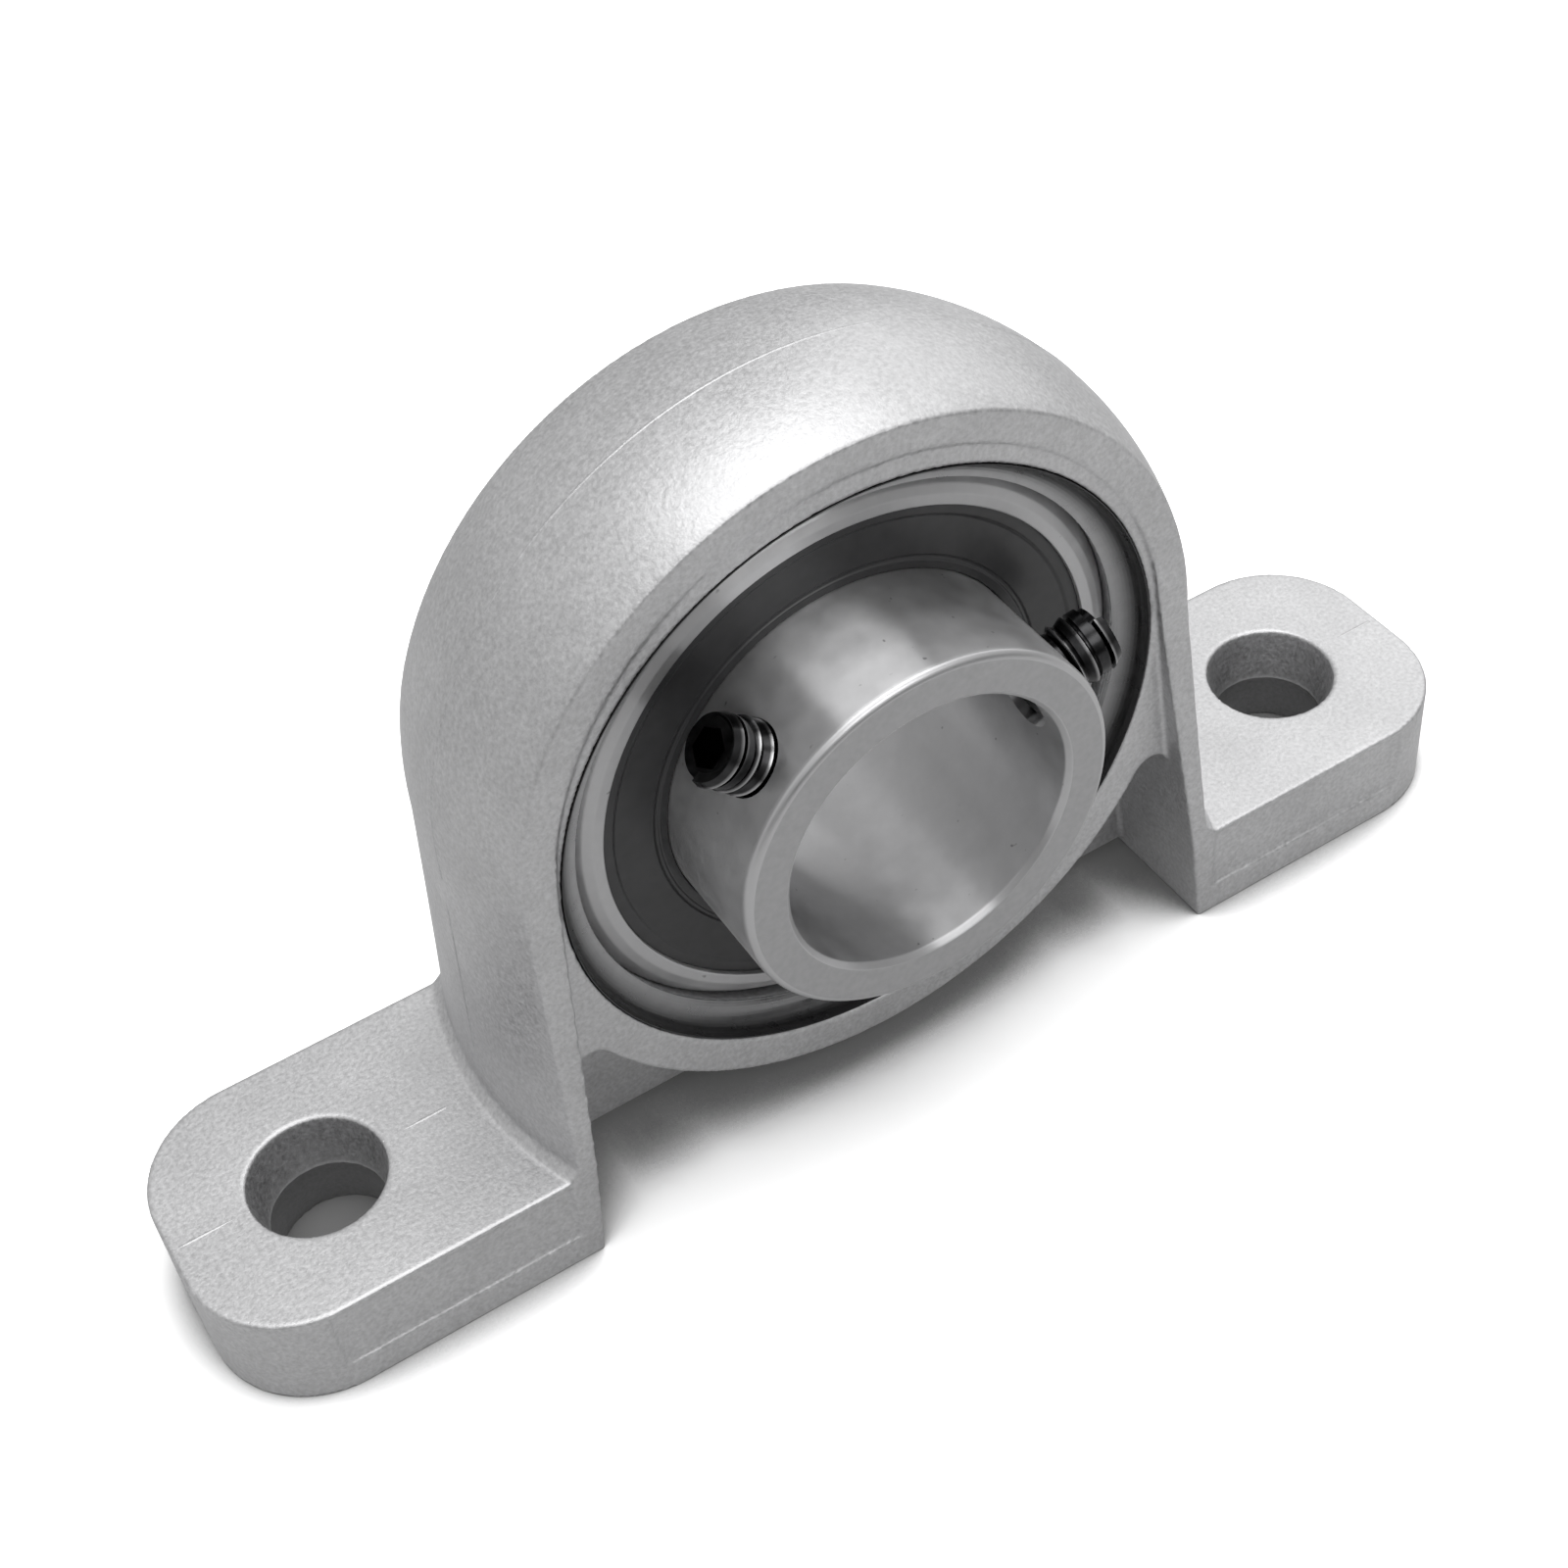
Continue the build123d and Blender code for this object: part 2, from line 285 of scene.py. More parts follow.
# Bored recess
# After casting, the seat and the round recess at each side of it are bored, with a tool
# whose nose leaves a wide round corner between the floor of the recess and its wall.
RING_STEPS = 240
SHAFT_HEIGHT_MM = 24.0
RECESS_MM = 18.28
RECESS_FLOOR_MM = 5.19
RECESS_RIM_MM = 6.64
NOSE_MM = 1.25
SEAT_LIP_MM = 16.84
WALL_SKIN_MM = 0.07
FLOOR_SKIN_MM = 0.13
OIL_MM = 1.11


def turned(name, outline, corner_mm):
    """Ring turned about the shaft's axis from a closed outline of radius and Y, in
    millimetres, its corners rounded by short arcs between tight flanks."""
    points = []
    for index, corner in enumerate(outline):
        here = Vector(corner)
        before = Vector(outline[index - 1]) - here
        after = Vector(outline[(index + 1) % len(outline)]) - here
        cut = min(corner_mm, 0.3 * before.length, 0.3 * after.length)
        first, last = here + before.normalized() * cut, here + after.normalized() * cut
        points.append(here + before.normalized() * cut * 1.35)
        for part in range(4):
            t = part / 3
            points.append(first * (1 - t) ** 2 + here * 2 * t * (1 - t) + last * t ** 2)
        points.append(here + after.normalized() * cut * 1.35)
    work = bmesh.new()
    loops = []
    for step in range(RING_STEPS):
        turn = 2 * math.pi * step / RING_STEPS
        loops.append([
            work.verts.new(Vector((r * math.cos(turn), y, SHAFT_HEIGHT_MM + r * math.sin(turn))) * MM)
            for r, y in points
        ])
    for here, there in zip(loops, loops[1:] + loops[:1]):
        for index in range(len(points)):
            after = (index + 1) % len(points)
            work.faces.new((here[index], here[after], there[after], there[index]))
    bmesh.ops.recalc_face_normals(work, faces=work.faces)
    return add_piece(name, work)


# Bored zinc: smoother than the cast skin, with blotches of cutting oil a millimetre wide.
# Towards the recess wall the colour is painted darker as painted shade in the corner, so
# the wall is far darker than the floor.
bored_zinc, tree, shader = new_finish("bored_zinc")
place = add_node(tree, "ShaderNodeTexCoord").outputs["Object"]
film = add_node(tree, "ShaderNodeTexNoise", {"Vector": place, "Scale": 1 / (OIL_MM * MM), "Detail": 4.0})
tone = add_node(
    tree, "ShaderNodeMix",
    {"Factor": film.outputs["Fac"], 6: linear("#909091"), 7: linear("#B4B4B5")},
    data_type="RGBA",
)
gloss = add_node(
    tree, "ShaderNodeMapRange",
    {"Value": film.outputs["Fac"], "From Min": 0.3, "From Max": 0.7, "To Min": 0.24, "To Max": 0.38},
)
from_shaft = add_node(
    tree, "ShaderNodeVectorMath", {0: place, 1: (0.0, 0.0, -SHAFT_HEIGHT_MM * MM)}, operation="ADD"
)
across = add_node(
    tree, "ShaderNodeVectorMath", {0: from_shaft.outputs[0], 1: (1.0, 0.0, 1.0)}, operation="MULTIPLY"
)
radius = add_node(tree, "ShaderNodeVectorMath", {0: across.outputs[0]}, operation="LENGTH")
# Painted shade: darker from the start of the round corner out to the wall, and on the wall.
painted_corner_shade = add_node(
    tree, "ShaderNodeMapRange",
    {"Value": radius.outputs["Value"], "From Min": (RECESS_MM - NOSE_MM) * MM,
     "From Max": (RECESS_MM - 0.15) * MM, "To Min": 1.0, "To Max": 0.2},
)
oil_tone_and_corner_shade = add_node(
    tree, "ShaderNodeMix", {"Factor": 1.0, 6: tone.outputs[2], 7: painted_corner_shade.outputs["Result"]},
    data_type="RGBA", blend_type="MULTIPLY",
)
shader.inputs["Metallic"].default_value = 1.0
tree.links.new(oil_tone_and_corner_shade.outputs[2], shader.inputs["Base Color"])
tree.links.new(gloss.outputs["Result"], shader.inputs["Roughness"])

nose = [
    (RECESS_MM - NOSE_MM + NOSE_MM * math.sin(t), RECESS_FLOOR_MM + NOSE_MM - NOSE_MM * math.cos(t))
    for t in [math.pi / 2 * step / 10 for step in range(11)]
]
outside_mm, underside_mm = RECESS_MM + WALL_SKIN_MM, RECESS_FLOOR_MM - FLOOR_SKIN_MM
section = (
    [(outside_mm, underside_mm), (SEAT_LIP_MM, underside_mm), (SEAT_LIP_MM, RECESS_FLOOR_MM)]
    + nose
    + [(RECESS_MM, RECESS_RIM_MM), (outside_mm, RECESS_RIM_MM)]
)
for side, name in ((-1, "front"), (1, "rear")):
    recess = turned(name + "_bored_recess", [(r, side * y) for r, y in section], 0.02)
    recess.data.materials.append(bored_zinc)
    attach(recess, "housing")


# Bearing rings
# Inner and outer ring of through-hardened bearing steel, ground on every running and
# seating face, and tumbled once before that, which leaves the end faces duller.
RING_EDGE_MM = 0.08
SPHERE_MM = 17.5
OUTER_CORNER = [(16.75, 4.35), (16.3, 4.8), (15.75, 5.0)]
RACE_MM = 2.431
PITCH_MM = 12.95
SHOULDER_MM = 14.75
LAND_MM = 15.1
INNER_MM = 11.15
BORE_MM = 8.5
FRONT_MM = -12.5
FRONT_ROUND_MM = 0.5
TAPPED_MM = 2.03
SCREW_Y_MM = -8.8
SCREW_DEGREES = {"right": 17.0, "left": 137.0}
GRINDING_LINE_MM = 0.286
GRINDING_RUN_MM = 6.25
STAIN_MM = 1.43
PIT_MM = 0.526
CHATTER_MM = 0.667
PEENING_MM = 0.4

# Ground bearing steel: clean mirror-like bands, drawn out along the shaft because the
# grinding lines run round it. The lines are 0.02 mm apart and are drawn 0.3 mm apart.
# Faint stains 1.4 mm wide make the bands patchy, with a few pits of half a millimetre.
ground_steel, tree, shader = new_finish("ground_bearing_steel")
place = add_node(tree, "ShaderNodeTexCoord").outputs["Object"]
round_shaft = add_node(
    tree, "ShaderNodeMapping",
    {"Vector": place,
     "Scale": [1 / (size * MM) for size in (GRINDING_RUN_MM, GRINDING_LINE_MM, GRINDING_RUN_MM)]},
)
lines = add_node(
    tree, "ShaderNodeTexNoise", {"Vector": round_shaft.outputs["Vector"], "Scale": 1.0, "Detail": 2.0}
)
stain = add_node(
    tree, "ShaderNodeTexNoise",
    {"Vector": place, "Scale": 1 / (STAIN_MM * MM), "Detail": 3.0, "Roughness": 0.55},
)
tone = add_node(
    tree, "ShaderNodeMix",
    {"Factor": stain.outputs["Fac"], 6: linear("#BCBCBD"), 7: linear("#D2D2D3")},
    data_type="RGBA",
)
rust = add_node(tree, "ShaderNodeTexNoise", {"Vector": place, "Scale": 1 / (PIT_MM * MM), "Detail": 1.0})
pits = add_node(
    tree, "ShaderNodeMapRange",
    {"Value": rust.outputs["Fac"], "From Min": 0.76, "From Max": 0.82, "To Min": 1.0, "To Max": 0.5},
)
pitted = add_node(
    tree, "ShaderNodeMix", {"Factor": 1.0, 6: tone.outputs[2], 7: pits.outputs["Result"]},
    data_type="RGBA", blend_type="MULTIPLY",
)
gloss = add_node(
    tree, "ShaderNodeMapRange",
    {"Value": stain.outputs["Fac"], "From Min": 0.3, "From Max": 0.7, "To Min": 0.31, "To Max": 0.37},
)
pebble = add_node(
    tree, "ShaderNodeBump", {"Height": stain.outputs["Fac"], "Strength": 0.5, "Distance": 0.004 * MM}
)
grinding = add_node(
    tree, "ShaderNodeBump",
    {"Height": lines.outputs["Fac"], "Strength": 0.5, "Distance": 0.001 * MM,
     "Normal": pebble.outputs["Normal"]},
)
round_ring = add_node(tree, "ShaderNodeTangent", direction_type="RADIAL", axis="Y")
shader.inputs["Metallic"].default_value = 1.0
shader.inputs["Anisotropic"].default_value = 1.0
shader.inputs["Anisotropic Rotation"].default_value = 0.25
tree.links.new(round_ring.outputs["Tangent"], shader.inputs["Tangent"])
tree.links.new(pitted.outputs[2], shader.inputs["Base Color"])
tree.links.new(gloss.outputs["Result"], shader.inputs["Roughness"])
tree.links.new(grinding.outputs["Normal"], shader.inputs["Normal"])

# Turned edge of the front: a narrow bright round that flashes where it faces the light,
# its gloss uneven over 0.7 mm from the tool's chatter.
bright_steel, tree, shader = new_finish("turned_edge_steel")
place = add_node(tree, "ShaderNodeTexCoord").outputs["Object"]
chatter = add_node(
    tree, "ShaderNodeTexNoise", {"Vector": place, "Scale": 1 / (CHATTER_MM * MM), "Detail": 2.0}
)
gloss = add_node(tree, "ShaderNodeMapRange", {"Value": chatter.outputs["Fac"], "To Min": 0.3, "To Max": 0.42})
shader.inputs["Base Color"].default_value = linear("#C2C2C3")
shader.inputs["Metallic"].default_value = 1.0
tree.links.new(gloss.outputs["Result"], shader.inputs["Roughness"])

# Tumbled steel on the ring's ends: an even, soft mid grey with no clear reflections. The
# dents from the tumbling are 0.4 mm wide.
dull_steel, tree, shader = new_finish("tumbled_bearing_steel")
place = add_node(tree, "ShaderNodeTexCoord").outputs["Object"]
peening = add_node(
    tree, "ShaderNodeTexNoise", {"Vector": place, "Scale": 1 / (PEENING_MM * MM), "Detail": 3.0}
)
tone = add_node(
    tree, "ShaderNodeMix",
    {"Factor": peening.outputs["Fac"], 6: linear("#A6A6A7"), 7: linear("#BABABB")},
    data_type="RGBA",
)
peened = add_node(
    tree, "ShaderNodeBump", {"Height": peening.outputs["Fac"], "Strength": 0.5, "Distance": 0.02 * MM}
)
shader.inputs["Metallic"].default_value = 1.0
shader.inputs["Roughness"].default_value = 0.4
tree.links.new(tone.outputs[2], shader.inputs["Base Color"])
tree.links.new(peened.outputs["Normal"], shader.inputs["Normal"])


def race(shoulder_mm, side, steps=8):
    """Round ball race between its two shoulders; side is 1 outside the balls, -1 inside."""
    reach = math.acos(abs(shoulder_mm - PITCH_MM) / RACE_MM)
    turns = [reach * (1 - 2 * step / steps) for step in range(steps + 1)]
    return [(PITCH_MM + side * RACE_MM * math.cos(t), RACE_MM * math.sin(t)) for t in turns]


sphere = [(math.sqrt(SPHERE_MM**2 - y * y), y) for y in [4.1 * (step / 12 - 1) for step in range(25)]]
outer_ring = turned(
    "outer_ring_ground",
    OUTER_CORNER
    + [(LAND_MM, 5.0), (LAND_MM, 4.0), (SHOULDER_MM, 4.0)]
    + race(SHOULDER_MM, 1)
    + [(SHOULDER_MM, -4.0), (LAND_MM, -4.0), (LAND_MM, -5.0)]
    + [(r, -y) for r, y in OUTER_CORNER[::-1]]
    + sphere,
    RING_EDGE_MM,
)
outer_ring.data.materials.append(ground_steel)
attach(outer_ring, "insert")
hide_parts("outer_ring")

front_edge = [
    (INNER_MM - FRONT_ROUND_MM * (1 - math.sin(t)), FRONT_MM + FRONT_ROUND_MM * (1 - math.cos(t)))
    for t in [math.pi / 2 * step / 6 for step in range(7)]
]
inner_ring = turned(
    "inner_ring_ground",
    [(INNER_MM - 0.3, 5.0), (BORE_MM + 0.3, 5.0), (BORE_MM, 4.7), (BORE_MM, FRONT_MM + 0.3)]
    + [(BORE_MM + 0.3, FRONT_MM)]
    + front_edge
    + race(INNER_MM, -1)[::-1]
    + [(INNER_MM, 4.7)],
    RING_EDGE_MM,
)
work = bmesh.new()
for degrees in SCREW_DEGREES.values():
    turn = math.radians(degrees)
    middle = Vector((INNER_MM * math.cos(turn), SCREW_Y_MM, SHAFT_HEIGHT_MM + INNER_MM * math.sin(turn)))
    bmesh.ops.create_cone(
        work, cap_ends=True, segments=48, radius1=TAPPED_MM * MM, radius2=TAPPED_MM * MM,
        depth=2 * (INNER_MM - BORE_MM + 1.0) * MM,
        matrix=Matrix.Translation(middle * MM) @ Matrix.Rotation(math.pi / 2 - turn, 4, "Y"),
    )
drill = add_piece("tap_drill", work)
tapped = inner_ring.modifiers.new("tapped holes", "BOOLEAN")
tapped.operation = "DIFFERENCE"
tapped.solver = "EXACT"
tapped.object = drill
plain_mesh(inner_ring)
bpy.data.objects.remove(drill)
inner_ring.data.materials.clear()
inner_ring.data.materials.append(ground_steel)
inner_ring.data.materials.append(dull_steel)
inner_ring.data.materials.append(bright_steel)
inner_ring.data.set_sharp_from_angle(angle=math.radians(30))
for face in inner_ring.data.polygons:
    out_of_axis = math.hypot(face.center.x, face.center.z - SHAFT_HEIGHT_MM * MM)
    if abs(face.normal.y) > 0.99:
        face.material_index = 1
    elif abs(face.normal.y) > 0.3 and out_of_axis > (INNER_MM - 0.6) * MM and face.center.y < SCREW_Y_MM * MM:
        face.material_index = 2
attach(inner_ring, "inner_ring")
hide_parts("inner_ring")


# Seals
# A contact seal at each side: a stamped steel washer, and on it black nitrile rubber,
# moulded with a raised rim at the outside and a fine groove before the lip.
SEAL_EDGE_MM = 0.06
DUST_MM = 1.11
ROLLING_MM = 0.667

# Moulded nitrile rubber: near black with a faint, dusty sheen from the mould's finish,
# in patches 1.1 mm wide.
rubber, tree, shader = new_finish("moulded_nitrile_rubber")
place = add_node(tree, "ShaderNodeTexCoord").outputs["Object"]
dust = add_node(tree, "ShaderNodeTexNoise", {"Vector": place, "Scale": 1 / (DUST_MM * MM), "Detail": 4.0})
tone = add_node(
    tree, "ShaderNodeMix", {"Factor": dust.outputs["Fac"], 6: linear("#262627"), 7: linear("#3A3A3B")},
    data_type="RGBA",
)
mould_skin = add_node(
    tree, "ShaderNodeBump", {"Height": dust.outputs["Fac"], "Strength": 0.2, "Distance": 0.02 * MM}
)
shader.inputs["Roughness"].default_value = 0.32
tree.links.new(tone.outputs[2], shader.inputs["Base Color"])
tree.links.new(mould_skin.outputs["Normal"], shader.inputs["Normal"])

# Stamped washer steel: a smooth rolled sheet that shows only in the slit behind the lip.
washer_steel, tree, shader = new_finish("stamped_washer_steel")
place = add_node(tree, "ShaderNodeTexCoord").outputs["Object"]
rolling = add_node(
    tree, "ShaderNodeTexNoise", {"Vector": place, "Scale": 1 / (ROLLING_MM * MM), "Detail": 2.0}
)
gloss = add_node(
    tree, "ShaderNodeMapRange", {"Value": rolling.outputs["Fac"], "To Min": 0.28, "To Max": 0.42}
)
shader.inputs["Base Color"].default_value = linear("#A2A2A4")
shader.inputs["Metallic"].default_value = 1.0
tree.links.new(gloss.outputs["Result"], shader.inputs["Roughness"])

for side, name in ((-1, "front"), (1, "rear")):
    section = [
        (11.2, 4.25), (11.2, 4.62), (11.7, 4.66), (11.8, 4.55), (11.95, 4.55), (12.05, 4.66),
        (14.3, 4.6), (14.45, 4.7), (15.1, 4.7), (15.1, 4.25),
    ]
    lip = turned(name + "_seal_rubber", [(r, side * y) for r, y in section], SEAL_EDGE_MM)
    lip.data.materials.append(rubber)
    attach(lip, "insert")
    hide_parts(name + "_seal_lip")
    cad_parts[name + "_seal_core"].data.materials[0] = washer_steel


# Cage and balls
# Ten lapped steel balls in a crown cage that is moulded in pale glass-filled nylon. The
# balls roll round the shaft with the cage, so they ride on its body.
BALL_MM = 4.762
BALLS = 10
FIBRE_MM = 0.833
HAZE_MM = 1.25

# Glass-filled nylon: a warm, matt cream. The glass fibres under its skin are 0.3 mm long
# and too fine to show, so they are drawn as mottling 0.8 mm wide.
nylon, tree, shader = new_finish("moulded_nylon")
place = add_node(tree, "ShaderNodeTexCoord").outputs["Object"]
fibre = add_node(tree, "ShaderNodeTexNoise", {"Vector": place, "Scale": 1 / (FIBRE_MM * MM), "Detail": 3.0})
tone = add_node(
    tree, "ShaderNodeMix", {"Factor": fibre.outputs["Fac"], 6: linear("#C9C1AA"), 7: linear("#DAD4C2")},
    data_type="RGBA",
)
shader.inputs["Roughness"].default_value = 0.5
tree.links.new(tone.outputs[2], shader.inputs["Base Color"])
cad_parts["cage"].data.materials[0] = nylon

# Lapped ball steel: a near mirror with the faintest haze.
lapped, tree, shader = new_finish("lapped_ball_steel")
place = add_node(tree, "ShaderNodeTexCoord").outputs["Object"]
haze = add_node(tree, "ShaderNodeTexNoise", {"Vector": place, "Scale": 1 / (HAZE_MM * MM), "Detail": 2.0})
gloss = add_node(tree, "ShaderNodeMapRange", {"Value": haze.outputs["Fac"], "To Min": 0.05, "To Max": 0.12})
shader.inputs["Base Color"].default_value = linear("#CFCFD1")
shader.inputs["Metallic"].default_value = 1.0
tree.links.new(gloss.outputs["Result"], shader.inputs["Roughness"])

tree, given, made = new_shape_tree(
    "balls on a pitch circle",
    (("Count", "Int"), ("Pitch radius", "Float"), ("Ball radius", "Float"), ("Centre", "Vector"),
     ("Finish", "Material")),
)
pitch_circle = add_node(
    tree, "GeometryNodeMeshCircle",
    {"Vertices": given.outputs["Count"], "Radius": given.outputs["Pitch radius"]},
)
ball = add_node(
    tree, "GeometryNodeMeshUVSphere",
    {"Segments": 32, "Rings": 20, "Radius": given.outputs["Ball radius"]},
)
spread = add_node(
    tree, "GeometryNodeInstanceOnPoints",
    {"Points": pitch_circle.outputs["Mesh"], "Instance": ball.outputs["Mesh"]},
)
upright = add_node(
    tree, "GeometryNodeTransform",
    {"Geometry": spread.outputs[0], "Rotation": (math.pi / 2, 0, 0), "Translation": given.outputs["Centre"]},
)
joined = add_node(tree, "GeometryNodeRealizeInstances", {"Geometry": upright.outputs[0]})
finished = add_node(
    tree, "GeometryNodeSetMaterial", {"Geometry": joined.outputs[0], "Material": given.outputs["Finish"]}
)
tree.links.new(finished.outputs[0], made.inputs[0])
balls = grow(add_piece("balls", bmesh.new()), tree, {
    "Count": BALLS, "Pitch radius": PITCH_MM * MM, "Ball radius": BALL_MM / 2 * MM,
    "Centre": (0.0, 0.0, SHAFT_HEIGHT_MM * MM), "Finish": lapped,
})
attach(balls, "cage")


# Set screws
# Two M4 headless screws with a hexagon socket, of hardened steel with a black oxide skin.
# The thread is rolled with a 0.7 mm pitch, and its crests are painted bright as a painted highlight.
THREAD_PITCH_MM = 0.7
THREAD_CREST_MM = 2.0
THREAD_DEPTH_MM = 0.4
SCREW_LENGTH_MM = 5.0
SCREW_INNER_MM = 8.8
SOCKET_FLATS_MM = 2.0
SOCKET_DEPTH_MM = 2.0
WEAR_MM = 0.625

# Black oxide on rolled steel: almost black, but glossy, and uneven over 0.6 mm. The very
# crests of the thread are painted pale, a painted highlight that shows as thin bright lines.
oxide, tree, shader = new_finish("black_oxide_steel")
place = add_node(tree, "ShaderNodeTexCoord").outputs["Object"]
wear = add_node(tree, "ShaderNodeTexNoise", {"Vector": place, "Scale": 1 / (WEAR_MM * MM), "Detail": 4.0})
skin = add_node(
    tree, "ShaderNodeMix", {"Factor": wear.outputs["Fac"], 6: linear("#141415"), 7: linear("#4A4A4B")},
    data_type="RGBA",
)
# Painted highlight: the thread's crests are coloured pale.
crest_glint_attribute = add_node(tree, "ShaderNodeAttribute", attribute_name="painted_crest_glint")
painted_crest_highlight = add_node(tree, "ShaderNodeMapRange", {"Value": crest_glint_attribute.outputs["Fac"], "From Min": 0.7, "From Max": 1.0})
tone = add_node(
    tree, "ShaderNodeMix", {"Factor": painted_crest_highlight.outputs["Result"], 6: skin.outputs[2], 7: linear("#BCBCBD")},
    data_type="RGBA",
)
gloss = add_node(tree, "ShaderNodeMapRange", {"Value": wear.outputs["Fac"], "To Min": 0.14, "To Max": 0.3})
shader.inputs["Metallic"].default_value = 1.0
tree.links.new(tone.outputs[2], shader.inputs["Base Color"])
tree.links.new(gloss.outputs["Result"], shader.inputs["Roughness"])

tree, given, made = new_shape_tree(
    "threaded set screw",
    (("Root radius", "Float"), ("Ridge", "Float"), ("Turns", "Float"), ("Threaded length", "Float"),
     ("Core radius", "Float"), ("Length", "Float"), ("Socket radius", "Float"), ("Socket length", "Float"),
     ("Middle", "Vector"), ("End", "Vector"), ("Turn", "Vector"), ("Inner end", "Vector"),
     ("Finish", "Material")),
)
helix = add_node(
    tree, "GeometryNodeCurveSpiral",
    {"Resolution": 48, "Rotations": given.outputs["Turns"], "Start Radius": given.outputs["Root radius"],
     "End Radius": given.outputs["Root radius"], "Height": given.outputs["Threaded length"]},
)
along = add_node(tree, "GeometryNodeSplineParameter").outputs["Factor"]
left = add_node(tree, "ShaderNodeMath", {0: 1.0, 1: along}, operation="SUBTRACT")
near_end = add_node(tree, "ShaderNodeMath", {0: along, 1: left.outputs[0]}, operation="MINIMUM")
run_out = add_node(
    tree, "ShaderNodeMapRange", {"Value": near_end.outputs[0], "From Max": 0.05, "To Min": 0.0, "To Max": 1.0}
)
tapered = add_node(
    tree, "GeometryNodeSetCurveRadius", {"Curve": helix.outputs[0], "Radius": run_out.outputs["Result"]}
)
ridge = add_node(
    tree, "GeometryNodeCurvePrimitiveCircle", {"Resolution": 4, "Radius": given.outputs["Ridge"]}
)
thread = add_node(
    tree, "GeometryNodeCurveToMesh",
    {"Curve": tapered.outputs[0], "Profile Curve": ridge.outputs["Curve"], "Fill Caps": True},
)
half_pitch = add_node(tree, "ShaderNodeCombineXYZ", {"Z": given.outputs["Ridge"]})
place = add_node(tree, "GeometryNodeInputPosition").outputs[0]
across = add_node(tree, "ShaderNodeVectorMath", {0: place, 1: (1.0, 1.0, 0.0)}, operation="MULTIPLY")
from_axis = add_node(tree, "ShaderNodeVectorMath", {0: across.outputs[0]}, operation="LENGTH")
crest_radius = add_node(
    tree, "ShaderNodeMath", {0: given.outputs["Root radius"], 1: given.outputs["Ridge"]}, operation="ADD"
)
# Marks the thread's crests for the painted highlight in the screw's finish.
crest_glint_mask = add_node(
    tree, "ShaderNodeMapRange",
    {"Value": from_axis.outputs["Value"], "From Min": given.outputs["Core radius"],
     "From Max": crest_radius.outputs[0]},
)
crested = add_node(
    tree, "GeometryNodeStoreNamedAttribute",
    {"Geometry": thread.outputs["Mesh"], "Name": "painted_crest_glint", "Value": crest_glint_mask.outputs["Result"]},
)
thread_up = add_node(
    tree, "GeometryNodeTransform", {"Geometry": crested.outputs[0], "Translation": half_pitch.outputs[0]}
)
core = add_node(
    tree, "GeometryNodeMeshCylinder",
    {"Vertices": 64, "Radius": given.outputs["Core radius"], "Depth": given.outputs["Length"]},
)
core_up = add_node(
    tree, "GeometryNodeTransform", {"Geometry": core.outputs["Mesh"], "Translation": given.outputs["Middle"]}
)
key = add_node(
    tree, "GeometryNodeMeshCylinder",
    {"Vertices": 6, "Radius": given.outputs["Socket radius"], "Depth": given.outputs["Socket length"]},
)
key_up = add_node(
    tree, "GeometryNodeTransform", {"Geometry": key.outputs["Mesh"], "Translation": given.outputs["End"]}
)
socketed = add_node(
    tree, "GeometryNodeMeshBoolean", {"Mesh 1": core_up.outputs[0], "Mesh 2": key_up.outputs[0]},
    operation="DIFFERENCE",
)
both = add_node(tree, "GeometryNodeJoinGeometry", {0: socketed.outputs["Mesh"]})
tree.links.new(thread_up.outputs[0], both.inputs[0])
turned_out = add_node(
    tree, "GeometryNodeTransform",
    {"Geometry": both.outputs[0], "Rotation": given.outputs["Turn"],
     "Translation": given.outputs["Inner end"]},
)
joined = add_node(tree, "GeometryNodeRealizeInstances", {"Geometry": turned_out.outputs[0]})
finished = add_node(
    tree, "GeometryNodeSetMaterial", {"Geometry": joined.outputs[0], "Material": given.outputs["Finish"]}
)
tree.links.new(finished.outputs[0], made.inputs[0])

root_mm = THREAD_CREST_MM - THREAD_DEPTH_MM
threaded_mm = SCREW_LENGTH_MM - 1.2 * THREAD_DEPTH_MM
for side, degrees in SCREW_DEGREES.items():
    turn = math.radians(degrees)
    end = Vector((
        SCREW_INNER_MM * math.cos(turn), SCREW_Y_MM, SHAFT_HEIGHT_MM + SCREW_INNER_MM * math.sin(turn)
    ))
    screw = grow(add_piece(f"set_screw_{side}_threaded", bmesh.new()), tree, {
        "Root radius": root_mm * MM, "Ridge": THREAD_DEPTH_MM * MM, "Turns": threaded_mm / THREAD_PITCH_MM,
        "Threaded length": threaded_mm * MM, "Core radius": (root_mm + 0.04) * MM,
        "Length": SCREW_LENGTH_MM * MM, "Socket radius": SOCKET_FLATS_MM / math.sqrt(3) * MM,
        "Socket length": 2 * SOCKET_DEPTH_MM * MM, "Middle": (0.0, 0.0, SCREW_LENGTH_MM / 2 * MM),
        "End": (0.0, 0.0, SCREW_LENGTH_MM * MM), "Turn": (0.0, math.pi / 2 - turn, 0.0),
        "Inner end": tuple(end * MM), "Finish": oxide,
    })
    screw.data.set_sharp_from_angle(angle=math.radians(40))
    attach(screw, "set_screw_" + side)
    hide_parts("set_screw_" + side)
